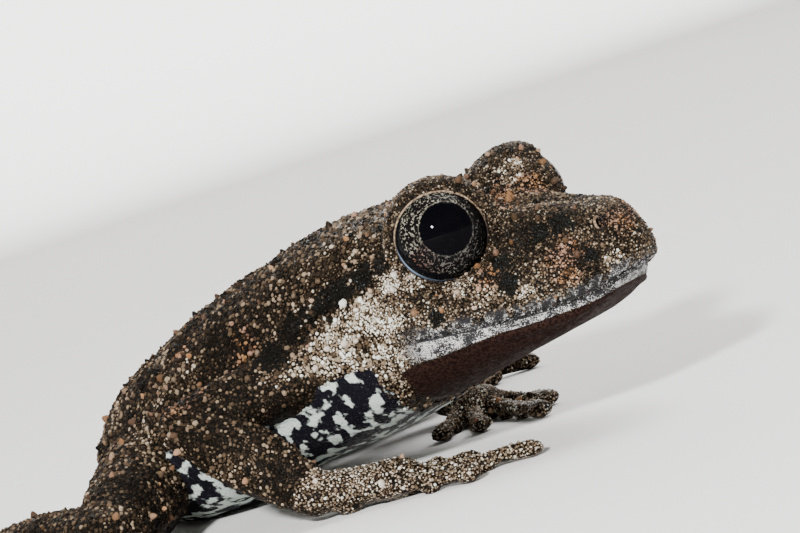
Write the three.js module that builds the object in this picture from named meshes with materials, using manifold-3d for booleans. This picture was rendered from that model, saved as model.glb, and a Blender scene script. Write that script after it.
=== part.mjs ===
// A small warty rain frog at life size, crouched on the ground with its head level, chest held clear of the
// ground on its arms, thighs spread and shanks folded back. Millimetres, +X is the way the frog faces,
// +Y its left, +Z up, and Z = 0 the ground. Body and limbs are lofts through named stations, parted into
// head, lower jaw, torso, eyes and limb segments by thin gaps.
import * as THREE from "three";
import { LoftGeometry } from "three/addons/geometries/LoftGeometry.js";
import { mergeVertices } from "three/addons/utils/BufferGeometryUtils.js";
import Module from "manifold-3d";

// Driving dimensions.
const BODY_LENGTH = 38.2; // snout tip to vent
const GAP = 0.3; // kept between two neighbouring parts
const EYE_RADIUS = 2.5; // eyeball
const LID_THICKNESS = 0.32;
const LIP_RADIUS = 0.36;
const DIGIT_RADIUS = 0.56;
const PALM_LENGTH = 4.4;
const SOLE_LENGTH = 5.2;
const MOUTH_CORNER = -12.6; // x of the corner of the mouth
const NECK = -14.6; // x of the parting between head and torso
const FAR = 60; // larger than the frog, for half-space cuts
const SEED = 20251;

// Trunk stations, snout tip at x = 0. A section runs through belly (0, bottom), lower flank (lowWidth, low),
// lip or flank line (width, line), canthus or shoulder line (topWidth, high) and crown (0, top).
const TRUNK_SIZES = ["x", "bottom", "lowWidth", "low", "width", "line", "topWidth", "high", "top"];
const TRUNK = [
  [0.0, 8.5, 0.4, 8.55, 0.6, 8.8, 0.45, 9.15, 9.25],
  [-0.4, 7.7, 0.9, 7.8, 1.3, 8.2, 0.9, 9.8, 10.0],
  [-1.2, 7.1, 1.6, 7.15, 2.2, 7.6, 1.4, 10.4, 10.7],
  [-2.6, 6.2, 2.7, 6.3, 3.5, 7.2, 2.0, 11.1, 11.4],
  [-4.8, 5.3, 4.1, 5.6, 5.2, 7.2, 2.7, 11.7, 12.1],
  [-8.3, 4.5, 5.2, 5.1, 6.6, 7.4, 3.4, 12.5, 12.9],
  [-12.4, 3.5, 5.8, 4.4, 7.3, 7.6, 4.8, 13.1, 14.1],
  [-17.0, 2.2, 5.7, 3.2, 7.2, 7.2, 5.2, 12.7, 14.1],
  [-22.5, 1.4, 6.2, 2.5, 7.7, 6.2, 5.3, 11.5, 13.0],
  [-28.0, 0.1, 6.0, 1.4, 7.3, 5.2, 4.9, 9.7, 11.4],
  [-32.0, -0.3, 4.9, 0.9, 6.0, 4.8, 4.0, 8.2, 9.8],
  [-35.2, 0.1, 3.6, 1.2, 4.5, 4.6, 3.0, 7.0, 8.4],
  [-37.2, 1.4, 2.2, 2.2, 2.8, 4.2, 1.9, 5.8, 6.6],
  [-BODY_LENGTH, 2.8, 0.9, 3.1, 1.1, 3.9, 0.8, 4.6, 4.9],
].map((row) => Object.fromEntries(row.map((value, k) => [TRUNK_SIZES[k], value])));

// Forms of the left side of the head: centres, radii and the way the lids' opening faces.
const EYE = { centre: [-9.3, 4.15, 12.2], rimAxis: [0.54, 0.82, -0.18], rim: 0.8 };
const BROW = { centre: [-9.4, 3.4, 12.1], radii: [3.3, 2.6, 2.9] };
const NOSTRIL = { at: [-1.6, 1.55, 10.35], radius: 0.3, depth: 0.6 };
const FOLD = {
  radii: [0.3, 0.5, 0.5, 0.3],
  path: [
    [-10.6, 5.2, 12.1],
    [-12.6, 5.9, 11.5],
    [-15.3, 6.3, 10.8],
    [-17.6, 6.8, 9.8],
    [-19.4, 7.0, 8.6],
  ],
};
const UPPER_LIP = { lift: 0.3, inset: 0.12, front: -0.5 };
const LOWER_LIP = { lift: -0.75, inset: 0.4, front: -2.3 };

// Warts: how many, between which x, and their least and greatest radius.
const SNOUT_WARTS = { count: 15, from: -1.2, to: -6.2, small: 0.26, large: 0.4 };
const NAPE_WARTS = { count: 10, from: -11.2, to: NECK + 0.9, small: 0.3, large: 0.5 };
const BACK_WARTS = { count: 47, from: NECK - 1.1, to: -36.5, small: 0.32, large: 0.55 };
const BROW_WARTS = { count: 9, small: 0.3, large: 0.5 };
const LIMB_WART = 0.35;

// Limb joints: y is the distance from the midline on the limb's own side. aim is how far the hand turns in,
// or the foot out, in degrees. Radii run from a segment's root to its end.
const ARM_RIGHT = {
  side: -1,
  shoulder: [-18.2, 5.2, 7.2],
  elbow: [-24.2, 10.3, 6.4],
  wrist: [-17.4, 10.7, 1.5],
  aim: 29,
};
const ARM_LEFT = {
  side: 1,
  shoulder: [-18.4, 5.2, 7.2],
  elbow: [-25.6, 10.6, 6.9],
  wrist: [-22.9, 11.6, 1.5],
  aim: 34,
};
const LEG = {
  hip: [-33.6, 2.4, 3.6],
  knee: [-27.0, 16.0, 2.3],
  heel: [-41.4, 8.6, 1.7],
  ankle: [-37.2, 16.2, 1.15],
  aim: 30,
};
const UPPER_ARM_RADII = [2.0, 1.8, 1.6];
const FOREARM_RADII = [1.6, 1.8, 1.4];
const PALM_RADII = [1.45, 1.4, 1.55];
const THIGH_RADII = [2.7, 2.75, 1.75];
const SHANK_RADII = [1.75, 2.1, 1.25];
const TARSUS_RADII = [1.3, 1.0, 1.05];
const SOLE_RADII = [1.1, 1.25, 1.5];
const PALM_FLAT = 0.75; // height of the palm as a share of its width
const SOLE_FLAT = 0.65;
const KNUCKLE_HEIGHT = 0.95;
const HAND_PAD = { ahead: 1.6, height: 0.5, radii: [0.85, 0.85, 0.62] };

// Digits: length past the knuckles, fan from the hand's or foot's aim in degrees, and place across its root.
const FINGERS = [
  { length: 3.6, fan: 44, spread: 1.2 },
  { length: 4.1, fan: 20, spread: 0.5 },
  { length: 7.0, fan: -1, spread: -0.3 },
  { length: 4.3, fan: -18, spread: -1.15 },
];
const TOES = [
  { length: 3.4, fan: 34, spread: 1.25 },
  { length: 4.9, fan: 20, spread: 0.7 },
  { length: 7.0, fan: 8, spread: 0.15 },
  { length: 9.3, fan: -4, spread: -0.45 },
  { length: 6.4, fan: -17, spread: -1.1 },
];
const LONG_DIGIT = 6; // a longer one has two knobs beneath it
const DIGIT_STATIONS = [
  { share: -0.12, height: 1.5, radius: 1.1 },
  { share: 0.3, height: 1.35, radius: 0.92 },
  { share: 0.65, height: 1.1, radius: 0.8 },
  { share: 0.88, height: 1.0, radius: 1.0 },
  { share: 1.0, height: 0.9, radius: 1.25 },
];

const wasm = await Module();
wasm.setup();

const UP = new THREE.Vector3(0, 0, 1);
const FORWARD = new THREE.Vector3(1, 0, 0);
const SIDES = [1, -1]; // left, right

// Small repeatable random numbers from 0 to 1.
let state = SEED;
const random = () => {
  state = (state * 1664525 + 1013904223) % 4294967296;
  return state / 4294967296;
};
const between = (low, high) => low + (high - low) * random();

const point = (p, side = 1) => new THREE.Vector3(p[0], p[1] * side, p[2]);

// A level direction, an angle in degrees round from straight ahead.
const heading = (degrees) => FORWARD.clone().applyAxisAngle(UP, THREE.MathUtils.degToRad(degrees));

// A geometry as a closed solid: only positions are kept, and shared corners are merged.
function solid(geometry) {
  const bare = new THREE.BufferGeometry();
  bare.setAttribute("position", geometry.attributes.position);
  bare.setIndex(geometry.index);
  const merged = mergeVertices(bare, 1e-4);
  return new wasm.Manifold(
    new wasm.Mesh({
      numProp: 3,
      vertProperties: new Float32Array(merged.attributes.position.array),
      triVerts: new Uint32Array(merged.index.array),
    }),
  );
}

// Joins a list of solids into one.
const join = (list) => list.reduce((all, one) => all.add(one));

// The closed surfaces of a solid, the largest first.
const piecesOf = (whole) => whole.decompose().sort((a, b) => b.volume() - a.volume());

// The half of space on the side of a point that a direction names, as a big box.
function halfSpace(at, direction) {
  const away = direction.clone().normalize();
  const box = new THREE.BoxGeometry(FAR, FAR, FAR);
  box.applyQuaternion(new THREE.Quaternion().setFromUnitVectors(UP, away));
  const centre = at.clone().addScaledVector(away, FAR / 2);
  box.translate(centre.x, centre.y, centre.z);
  return solid(box);
}

// One trunk size at x: a cubic between stations whose slopes never overshoot them.
function trunkSize(key, x) {
  const last = TRUNK.length - 1;
  let i = 0;
  while (i < last - 1 && x < TRUNK[i + 1].x) i++;
  const slope = (k) => (TRUNK[k + 1][key] - TRUNK[k][key]) / (TRUNK[k + 1].x - TRUNK[k].x);
  const tangent = (k) => {
    if (k === 0) return slope(0);
    if (k === last) return slope(last - 1);
    const before = slope(k - 1);
    const after = slope(k);
    return before * after <= 0 ? 0 : (2 * before * after) / (before + after);
  };
  const span = TRUNK[i + 1].x - TRUNK[i].x;
  const t = (x - TRUNK[i].x) / span;
  const a = TRUNK[i][key];
  const b = TRUNK[i + 1][key];
  const rise = t * t * (3 - 2 * t);
  return a + (b - a) * rise + span * t * (1 - t) * ((1 - t) * tangent(i) - t * tangent(i + 1));
}

// The trunk's outline at x, as a closed curve, wider all round by grow.
function trunkCurve(x, grow = 0) {
  const s = (key) => trunkSize(key, x);
  const half = [
    [s("lowWidth") + grow, s("low") - grow],
    [s("width") + grow, s("line")],
    [s("topWidth") + grow, s("high") + grow],
  ];
  const left = half.map(([y, z]) => new THREE.Vector3(x, y, z));
  const right = half.reverse().map(([y, z]) => new THREE.Vector3(x, -y, z));
  const belly = new THREE.Vector3(x, 0, s("bottom") - grow);
  const crown = new THREE.Vector3(x, 0, s("top") + grow);
  return new THREE.CatmullRomCurve3([belly, ...left, crown, ...right], true, "centripetal");
}

// The whole trunk as a loft. Its sections lie closer together towards the snout and the vent.
function trunk(grow, steps, sides) {
  const sections = [];
  for (let i = 0; i <= steps; i++) {
    const x = (-BODY_LENGTH * (1 - Math.cos((Math.PI * i) / steps))) / 2;
    const curve = trunkCurve(x, grow);
    const ring = [];
    for (let j = 0; j < sides; j++) ring.push(curve.getPoint(j / sides));
    sections.push(ring.reverse());
  }
  return solid(new LoftGeometry(sections, { capStart: true, capEnd: true }));
}

// A round-ended limb along a curve, its radii at even shares of the path. flat squeezes it top to bottom.
function limb(path, radii, { sides = 12, steps = 6, grow = 0, flat = 1 } = {}) {
  const curve = new THREE.CatmullRomCurve3(path, false, "centripetal");
  const radiusAt = (t) => {
    const k = Math.min(Math.floor(t * (radii.length - 1)), radii.length - 2);
    return THREE.MathUtils.lerp(radii[k], radii[k + 1], t * (radii.length - 1) - k) + grow;
  };
  const ring = (t, shift, share) => {
    const along = curve.getTangent(t);
    const across = new THREE.Vector3().crossVectors(UP, along).normalize();
    const over = new THREE.Vector3().crossVectors(along, across);
    const r = radiusAt(t);
    const centre = curve.getPoint(t).addScaledVector(along, shift * r);
    const points = [];
    for (let j = 0; j < sides; j++) {
      const turn = (2 * Math.PI * j) / sides;
      const p = centre.clone().addScaledVector(across, r * share * Math.cos(turn));
      points.push(p.addScaledVector(over, r * share * flat * Math.sin(turn)));
    }
    return points;
  };
  const caps = (sides > 6 ? [80, 50, 22] : [72, 34]).map((degrees) => THREE.MathUtils.degToRad(degrees));
  const sections = caps.map((a) => ring(0, -Math.sin(a), Math.cos(a)));
  for (let i = 0; i <= steps; i++) sections.push(ring(i / steps, 0, 1));
  sections.push(...caps.reverse().map((a) => ring(1, Math.sin(a), Math.cos(a))));
  return solid(new LoftGeometry(sections, { capStart: true, capEnd: true }));
}

// A limb segment from one joint to the next, its middle station a share of the way along.
const segment = (from, to, share, radii, options) =>
  limb([from, from.clone().lerp(to, share), to], radii, options);

// A ball, stretched to three radii.
function ball(centre, radii, across = 20, down = 12) {
  const sphere = new THREE.SphereGeometry(1, across, down);
  sphere.scale(...radii);
  sphere.translate(centre.x, centre.y, centre.z);
  return solid(sphere);
}

// A round ball of one radius.
const roundBall = (centre, radius, across, down) => ball(centre, [radius, radius, radius], across, down);

// One wart: a low dome of 20 faces, its root sunk well into the skin.
function wart(at, out, radius) {
  const dome = new THREE.IcosahedronGeometry(radius, 0);
  dome.rotateZ(between(0, Math.PI));
  const centre = at.clone().addScaledVector(out, -0.25 * radius);
  dome.translate(centre.x, centre.y, centre.z);
  return solid(dome);
}

// Warts scattered over the trunk between two x, from the back down to the flank line.
function trunkWarts({ count, from, to, small, large }) {
  const made = [];
  const crown = 0.5; // the crown's share of the way round the outline, which starts at the belly
  const reach = 0.21; // how far to each side of it warts grow
  const rows = Math.ceil(Math.sqrt(count));
  for (let i = 0; i < count; i++) {
    const x = from + ((to - from) * ((i % rows) + between(0.15, 0.85))) / rows;
    const band = (Math.floor(i / rows) + between(0.15, 0.85)) / Math.ceil(count / rows);
    const around = crown + reach * (2 * band - 1);
    const curve = trunkCurve(x);
    const at = curve.getPoint(around);
    const along = curve.getTangent(around);
    const out = new THREE.Vector3(0, along.z, -along.y).normalize();
    if (out.dot(new THREE.Vector3(0, at.y, at.z - trunkSize("line", x))) < 0) out.negate();
    made.push(wart(at, out, between(small, large)));
  }
  return made;
}

// Warts in an arch over one brow.
function browWarts(side) {
  const made = [];
  for (let i = 0; i < BROW_WARTS.count; i++) {
    const turn = (Math.PI * (i + between(0.2, 0.8))) / BROW_WARTS.count;
    const lean = between(0.5, 1.1);
    const out = new THREE.Vector3(Math.cos(turn), side * (1 - lean), Math.sin(turn) + 0.3).normalize();
    const at = point(BROW.centre, side).add(new THREE.Vector3(...BROW.radii).multiply(out));
    made.push(wart(at, out, between(BROW_WARTS.small, BROW_WARTS.large)));
  }
  return made;
}

// Warts along the outer side of a limb segment.
function limbWarts(count, from, to, radius, out) {
  const made = [];
  const along = to.clone().sub(from).normalize();
  for (let i = 0; i < count; i++) {
    const t = (i + between(0.2, 0.8)) / count;
    const turned = out.clone().applyAxisAngle(along, between(-0.9, 0.9));
    const at = from.clone().lerp(to, t).addScaledVector(turned, radius);
    made.push(wart(at, turned, LIMB_WART * between(0.8, 1.2)));
  }
  return made;
}

// The thin wall of air of the mouth, seen from the side: along the lips, then down behind the jaw.
function mouthGap() {
  const step = 0.85;
  const drop = 0.25; // the seam runs this far below the lip line
  const line = [];
  for (let x = 1; x >= MOUTH_CORNER; x -= step) line.push([x, trunkSize("line", Math.min(x, -1)) - drop]);
  line.push([MOUTH_CORNER - 0.6, 6.6], [MOUTH_CORNER - 1.2, 5.0], [MOUTH_CORNER - 1.5, 2.0]);
  const outline = new THREE.Shape([
    ...line.map(([x, z]) => new THREE.Vector2(x - GAP / 2, z + GAP / 2)),
    ...line.reverse().map(([x, z]) => new THREE.Vector2(x + GAP / 2, z - GAP / 2)),
  ]);
  const wall = new THREE.ExtrudeGeometry(outline, { depth: FAR / 2, bevelEnabled: false });
  wall.rotateX(Math.PI / 2);
  wall.translate(0, FAR / 4, 0);
  return solid(wall);
}

// A lip from corner to corner of the mouth, lifted off the lip line and drawn in from the skin.
function lip({ lift, inset, front }) {
  const along = [front - 0.9, -3.4, -5.5, -9.0, MOUTH_CORNER + 0.4];
  const half = along.map((x) => [x, trunkSize("width", x) - inset, trunkSize("line", x) + lift]);
  const middle = new THREE.Vector3(front, 0, trunkSize("line", -1) + lift);
  const left = half.map((p) => point(p, 1)).reverse();
  const right = half.map((p) => point(p, -1));
  const radii = [0.6, 1, 0.75, 1, 0.6].map((share) => share * LIP_RADIUS);
  return limb([...left, middle, ...right], radii, { sides: 6, steps: 18 });
}

// A nostril's pit, leaning out to its side.
function nostril(side) {
  const at = point(NOSTRIL.at, side);
  const hole = new THREE.CylinderGeometry(NOSTRIL.radius, NOSTRIL.radius * 0.6, NOSTRIL.depth * 2, 8);
  hole.rotateX((side * Math.PI) / 3);
  hole.translate(at.x, at.y, at.z);
  return solid(hole);
}

// The lids of one eye: a shell round the eyeball that ends in a flat rim.
function lids(side) {
  const centre = point(EYE.centre, side);
  const axis = point(EYE.rimAxis, side).normalize();
  const opening = halfSpace(centre.clone().addScaledVector(axis, EYE.rim), axis);
  return roundBall(centre, EYE_RADIUS + GAP + LID_THICKNESS, 18, 12).subtract(opening);
}

// Head, lower jaw and torso are cut from one trunk.
const aboveGround = halfSpace(new THREE.Vector3(-BODY_LENGTH / 2, 0, 0), UP);
const headFront = halfSpace(new THREE.Vector3(NECK + GAP / 2, 0, 0), FORWARD);
const torsoBack = halfSpace(new THREE.Vector3(NECK - GAP / 2, 0, 0), FORWARD.clone().negate());
const wholeTrunk = trunk(0, 28, 26);
const grownTrunk = trunk(GAP, 24, 22);
const folds = SIDES.map((side) => limb(FOLD.path.map((p) => point(p, side)), FOLD.radii, { sides: 8 }));
const headForms = [
  wholeTrunk.intersect(headFront),
  join(folds).intersect(headFront),
  lip(UPPER_LIP),
  lip(LOWER_LIP),
  ...SIDES.map((side) => ball(point(BROW.centre, side), BROW.radii, 16, 10)),
  ...SIDES.map(lids),
  ...SIDES.flatMap(browWarts),
  ...trunkWarts(SNOUT_WARTS),
  ...trunkWarts(NAPE_WARTS),
];
const hollows = [
  ...SIDES.map((side) => roundBall(point(EYE.centre, side), EYE_RADIUS + GAP, 16, 10)),
  ...SIDES.map(nostril),
  mouthGap(),
];
const [head, jaw] = piecesOf(join(headForms).subtract(join(hollows)));
const torsoForms = join([wholeTrunk, ...folds, ...trunkWarts(BACK_WARTS)]);
const [torso] = piecesOf(torsoForms.intersect(torsoBack).intersect(aboveGround));
const eyes = SIDES.map((side) => roundBall(point(EYE.centre, side), EYE_RADIUS, 20, 12));

// Digits of a hand or foot: each runs out from its root in a fan, arched, with a pad at its tip and a knob
// under each joint. inward is the aim of the hand or foot, in degrees towards the midline.
function digits(root, inward, side, list) {
  const made = [];
  for (const digit of list) {
    const ahead = heading(-side * (inward + digit.fan));
    const across = new THREE.Vector3(-ahead.y, ahead.x, 0);
    const base = root.clone().addScaledVector(across, -side * digit.spread);
    const place = (share, height) => base.clone().addScaledVector(ahead, digit.length * share).setZ(height);
    const path = DIGIT_STATIONS.map((s) => place(s.share, s.height * DIGIT_RADIUS));
    const radii = DIGIT_STATIONS.map((s) => s.radius * DIGIT_RADIUS);
    made.push(limb(path, radii, { sides: 6, steps: 4, flat: 0.85 }));
    const knobs = digit.length > LONG_DIGIT ? [0.35, 0.65] : [0.5];
    const down = UP.clone().negate();
    for (const share of knobs) made.push(wart(place(share, DIGIT_RADIUS * 0.4), down, DIGIT_RADIUS * 0.72));
  }
  return made;
}

// One arm: upper arm, forearm and hand, each cut clear of what it grows from.
function arm({ side, shoulder, elbow, wrist, aim }) {
  const [s, e, w] = [shoulder, elbow, wrist].map((p) => point(p, side));
  const ahead = heading(-side * aim);
  const knuckles = w.clone().addScaledVector(ahead, PALM_LENGTH).setZ(KNUCKLE_HEIGHT);
  const outward = new THREE.Vector3(-0.3, side, 0.3).normalize();
  const upperAt = (grow) => segment(s, e, 0.5, UPPER_ARM_RADII, { grow });
  const lowerAt = (grow) => segment(e, w, 0.45, FOREARM_RADII, { grow });
  const upperWarts = limbWarts(5, s.clone().lerp(e, 0.45), e, 1.7, outward);
  const lowerWarts = limbWarts(7, e.clone().lerp(w, 0.1), w.clone().lerp(e, 0.2), 1.5, outward);
  const upper = join([upperAt(0), ...upperWarts]).subtract(grownTrunk);
  const lower = join([lowerAt(0), ...lowerWarts]).subtract(upperAt(GAP)).subtract(grownTrunk);
  const palm = segment(w, knuckles, 0.5, PALM_RADII, { flat: PALM_FLAT, sides: 9, steps: 4 });
  const padCentre = w.clone().addScaledVector(ahead, HAND_PAD.ahead).setZ(HAND_PAD.height);
  const pad = ball(padCentre, HAND_PAD.radii, 8, 6);
  const hand = join([palm, pad, ...digits(knuckles, aim, side, FINGERS)])
    .subtract(lowerAt(GAP))
    .subtract(grownTrunk)
    .intersect(aboveGround);
  return { upper_arm: piecesOf(upper)[0], forearm: piecesOf(lower)[0], hand: piecesOf(hand)[0] };
}

// One hind leg: thigh, shank, tarsus and foot.
function leg(side) {
  const [hip, knee, heel, ankle] = [LEG.hip, LEG.knee, LEG.heel, LEG.ankle].map((p) => point(p, side));
  const toesRoot = ankle.clone().addScaledVector(heading(side * LEG.aim), SOLE_LENGTH).setZ(KNUCKLE_HEIGHT);
  const outward = new THREE.Vector3(0.2, side * 0.5, 0.9).normalize();
  const thighAt = (grow) => segment(hip, knee, 0.4, THIGH_RADII, { grow, sides: 13 });
  const shankAt = (grow) => segment(knee, heel, 0.4, SHANK_RADII, { grow });
  const tarsusAt = (grow) => segment(heel, ankle, 0.5, TARSUS_RADII, { grow, sides: 10 });
  const thighWarts = limbWarts(6, hip.clone().lerp(knee, 0.45), knee, 2.4, outward);
  const shankWarts = limbWarts(7, knee, knee.clone().lerp(heel, 0.85), 1.75, outward);
  const thigh = join([thighAt(0), ...thighWarts]).subtract(grownTrunk);
  const shank = join([shankAt(0), ...shankWarts]).subtract(thighAt(GAP)).subtract(grownTrunk);
  const tarsus = tarsusAt(0).subtract(shankAt(GAP)).subtract(thighAt(GAP));
  const sole = segment(ankle, toesRoot, 0.5, SOLE_RADII, { flat: SOLE_FLAT, sides: 9, steps: 4 });
  const foot = join([sole, ...digits(toesRoot, -LEG.aim, side, TOES)])
    .subtract(tarsusAt(GAP))
    .subtract(shankAt(GAP))
    .subtract(thighAt(GAP));
  const parts = { thigh, shank, tarsus, foot };
  for (const name in parts) parts[name] = piecesOf(parts[name].intersect(aboveGround))[0];
  return parts;
}

// Finishes.
const SKIN = new THREE.MeshStandardMaterial({ color: 0x6b5743, roughness: 0.55, metalness: 0 });
const PALE_SKIN = new THREE.MeshStandardMaterial({ color: 0xb9b2a4, roughness: 0.5, metalness: 0 });
const EYE_GLOSS = new THREE.MeshStandardMaterial({ color: 0x14100d, roughness: 0.05, metalness: 0 });

// A solid as a named mesh.
function mesh(name, made, material) {
  const { vertProperties, triVerts } = made.getMesh();
  const geometry = new THREE.BufferGeometry();
  geometry.setAttribute("position", new THREE.BufferAttribute(vertProperties, 3));
  geometry.setIndex(new THREE.BufferAttribute(triVerts, 1));
  const shown = new THREE.Mesh(geometry, material);
  shown.name = name;
  return shown;
}

const frog = new THREE.Group();
frog.add(mesh("head", head, SKIN), mesh("lower_jaw", jaw, PALE_SKIN), mesh("torso", torso, SKIN));
frog.add(mesh("eye_left", eyes[0], EYE_GLOSS), mesh("eye_right", eyes[1], EYE_GLOSS));
for (const pose of [ARM_LEFT, ARM_RIGHT]) {
  const name = pose.side > 0 ? "left" : "right";
  for (const [piece, made] of Object.entries(arm(pose))) frog.add(mesh(`${piece}_${name}`, made, SKIN));
  for (const [piece, made] of Object.entries(leg(pose.side))) frog.add(mesh(`${piece}_${name}`, made, SKIN));
}

// The origin is on the ground, under the middle of the frog's outline.
const middle = new THREE.Box3().setFromObject(frog).getCenter(new THREE.Vector3());
frog.position.set(-middle.x, -middle.y, 0);

export default frog;
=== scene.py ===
import bpy
import numpy as np
from mathutils import Matrix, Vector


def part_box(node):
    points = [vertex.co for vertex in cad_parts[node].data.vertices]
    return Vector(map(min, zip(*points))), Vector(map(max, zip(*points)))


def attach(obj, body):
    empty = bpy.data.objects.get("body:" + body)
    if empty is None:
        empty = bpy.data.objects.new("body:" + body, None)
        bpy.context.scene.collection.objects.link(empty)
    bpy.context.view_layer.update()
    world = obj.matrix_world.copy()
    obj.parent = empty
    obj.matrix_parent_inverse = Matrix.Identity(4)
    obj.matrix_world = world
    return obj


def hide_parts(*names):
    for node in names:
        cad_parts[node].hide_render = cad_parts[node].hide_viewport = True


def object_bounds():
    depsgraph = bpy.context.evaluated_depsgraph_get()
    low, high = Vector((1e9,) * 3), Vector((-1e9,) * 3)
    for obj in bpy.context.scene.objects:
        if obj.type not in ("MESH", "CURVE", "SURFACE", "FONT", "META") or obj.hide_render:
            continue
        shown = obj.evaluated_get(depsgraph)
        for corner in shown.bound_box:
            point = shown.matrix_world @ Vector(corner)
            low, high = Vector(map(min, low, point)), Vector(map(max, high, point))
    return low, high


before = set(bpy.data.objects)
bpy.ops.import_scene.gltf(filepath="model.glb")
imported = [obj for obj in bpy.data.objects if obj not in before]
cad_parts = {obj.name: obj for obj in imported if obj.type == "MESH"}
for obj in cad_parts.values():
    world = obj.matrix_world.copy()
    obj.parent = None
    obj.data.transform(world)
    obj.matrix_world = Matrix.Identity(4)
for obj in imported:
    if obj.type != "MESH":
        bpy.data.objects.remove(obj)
cad_box = [list(corner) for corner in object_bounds()]

MM = 0.001
EYE_CENTRE = np.array([-9.3, 4.15, 12.2])  # left eye
eye_low, eye_high = (np.array(corner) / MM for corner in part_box("eye_left"))
SHIFT = (eye_low + eye_high) / 2 - EYE_CENTRE
BOX_LOW, BOX_HIGH = (np.array(corner) / MM - SHIFT for corner in cad_box)


def placed(points):
    """Points in millimetres from the snout tip, in metres in the frame's own place."""
    return (np.clip(points, BOX_LOW, BOX_HIGH) + SHIFT) * MM


# The camera.
# It looks at the right side of the head from a little above eye level, close to the ground, with a long lens
# and its horizon tilted, so the snout points up to the right.
CAMERA_AZIMUTH, CAMERA_ELEVATION, CAMERA_ROLL = np.radians([34.646, 4.75, -18.306])
CAMERA_DISTANCE = 175.0
CAMERA_TARGET = np.array([-11.311, -5.64, 11.209])
SENSOR_WIDTH = 36
FOCAL_LENGTH = 153.14

back = np.array([
    np.sin(CAMERA_AZIMUTH) * np.cos(CAMERA_ELEVATION),
    -np.cos(CAMERA_AZIMUTH) * np.cos(CAMERA_ELEVATION),
    np.sin(CAMERA_ELEVATION),
])
level = np.array([np.cos(CAMERA_AZIMUTH), np.sin(CAMERA_AZIMUTH), 0])
rise = np.cross(back, level)
right = level * np.cos(CAMERA_ROLL) + rise * np.sin(CAMERA_ROLL)
up = rise * np.cos(CAMERA_ROLL) - level * np.sin(CAMERA_ROLL)


def aimed(position, x_axis, y_axis, z_axis):
    """An object matrix whose columns are three axes and a position in millimetres from the snout tip."""
    columns = np.column_stack([x_axis, y_axis, z_axis, (position + SHIFT) * MM])
    return Matrix(np.vstack([columns, [0, 0, 0, 1]]).tolist())


camera = bpy.data.objects.new("camera", bpy.data.cameras.new("camera"))
camera.data.sensor_width = SENSOR_WIDTH
camera.data.lens = FOCAL_LENGTH
camera.data.clip_start = 0.01
camera.matrix_world = aimed(CAMERA_TARGET + CAMERA_DISTANCE * back, right, up, back)
bpy.context.scene.collection.objects.link(camera)
bpy.context.scene.camera = camera


# The floor.
# A pale matt studio floor that is flat under the frog and sweeps up far behind it on every side, as one
# profile turned about an upright axis, so that no horizon shows.
FLOOR_FLAT = 500.0
FLOOR_SWEEP = 900.0
FLOOR_WALL = 900.0


def new_mesh(name, points, faces):
    """A mesh object from corner places in metres and an array of triangles, linked to the scene."""
    made = bpy.data.meshes.new(name)
    made.vertices.add(len(points))
    made.vertices.foreach_set("co", np.asarray(points, np.float32).ravel())
    made.loops.add(faces.size)
    made.loops.foreach_set("vertex_index", faces.astype(np.int32).ravel())
    made.polygons.add(len(faces))
    made.polygons.foreach_set("loop_start", np.arange(0, faces.size, 3, dtype=np.int32))
    made.polygons.foreach_set("use_smooth", np.ones(len(faces), bool))
    made.update(calc_edges=True)
    shown = bpy.data.objects.new(name, made)
    bpy.context.scene.collection.objects.link(shown)
    return shown


def grid_faces(rings, sides):
    """Triangles of a grid of rings that closes round its sides: two for each cell."""
    i = np.arange(rings - 1)[:, None]
    j = np.arange(sides)[None, :]
    a = i * sides + j
    b = i * sides + (j + 1) % sides
    c = b + sides
    d = a + sides
    return np.concatenate([np.stack([a, b, c], -1).reshape(-1, 3), np.stack([a, c, d], -1).reshape(-1, 3)])


def closed(rings):
    """Closes a stack of rings with a point in the middle of each end, with all triangles facing out."""
    count, sides = rings.shape[:2]
    first, last = count * sides, count * sides + 1
    points = np.concatenate([rings.reshape(-1, 3), [rings[0].mean(0)], [rings[-1].mean(0)]])
    j = np.arange(sides)
    start = np.stack([np.full(sides, first), (j + 1) % sides, j], -1)
    end_ring = (count - 1) * sides
    end = np.stack([np.full(sides, last), end_ring + j, end_ring + (j + 1) % sides], -1)
    faces = np.concatenate([grid_faces(count, sides), start, end])
    a, b, c = (points[faces[:, k]] - points.mean(0) for k in range(3))
    inside_out = np.einsum("ij,ij->i", a, np.cross(b, c)).sum() < 0
    return points, faces[:, ::-1] if inside_out else faces


sweep = np.radians(np.linspace(0, 90, 24))
floor_edge = FLOOR_FLAT + FLOOR_SWEEP
floor_radius = np.concatenate([[1, 100], FLOOR_FLAT + FLOOR_SWEEP * np.sin(sweep), [floor_edge]])
floor_height = np.concatenate([[0, 0], FLOOR_SWEEP * (1 - np.cos(sweep)), [FLOOR_SWEEP + FLOOR_WALL]])
turn = np.linspace(0, 2 * np.pi, 96, endpoint=False)
floor_rings = np.stack([
    floor_radius[:, None] * np.cos(turn),
    floor_radius[:, None] * np.sin(turn),
    np.repeat(floor_height[:, None], len(turn), 1),
], -1)
floor_points = np.concatenate([floor_rings.reshape(-1, 3), [[0, 0, 0]]]) * MM
hub = len(floor_points) - 1
spokes = np.arange(len(turn))
floor_faces = np.concatenate([
    grid_faces(len(floor_radius), len(turn)),
    np.stack([np.full(len(turn), hub), (spokes + 1) % len(turn), spokes], -1),
])
floor = new_mesh("floor", floor_points, floor_faces[:, ::-1])
floor_finish = bpy.data.materials.new("studio floor")
floor_finish.use_nodes = True
floor_gloss = floor_finish.node_tree.nodes["Principled BSDF"]
floor_gloss.inputs["Base Color"].default_value = (0.8, 0.79, 0.77, 1)
floor_gloss.inputs["Roughness"].default_value = 0.9
floor.data.materials.append(floor_finish)


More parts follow.
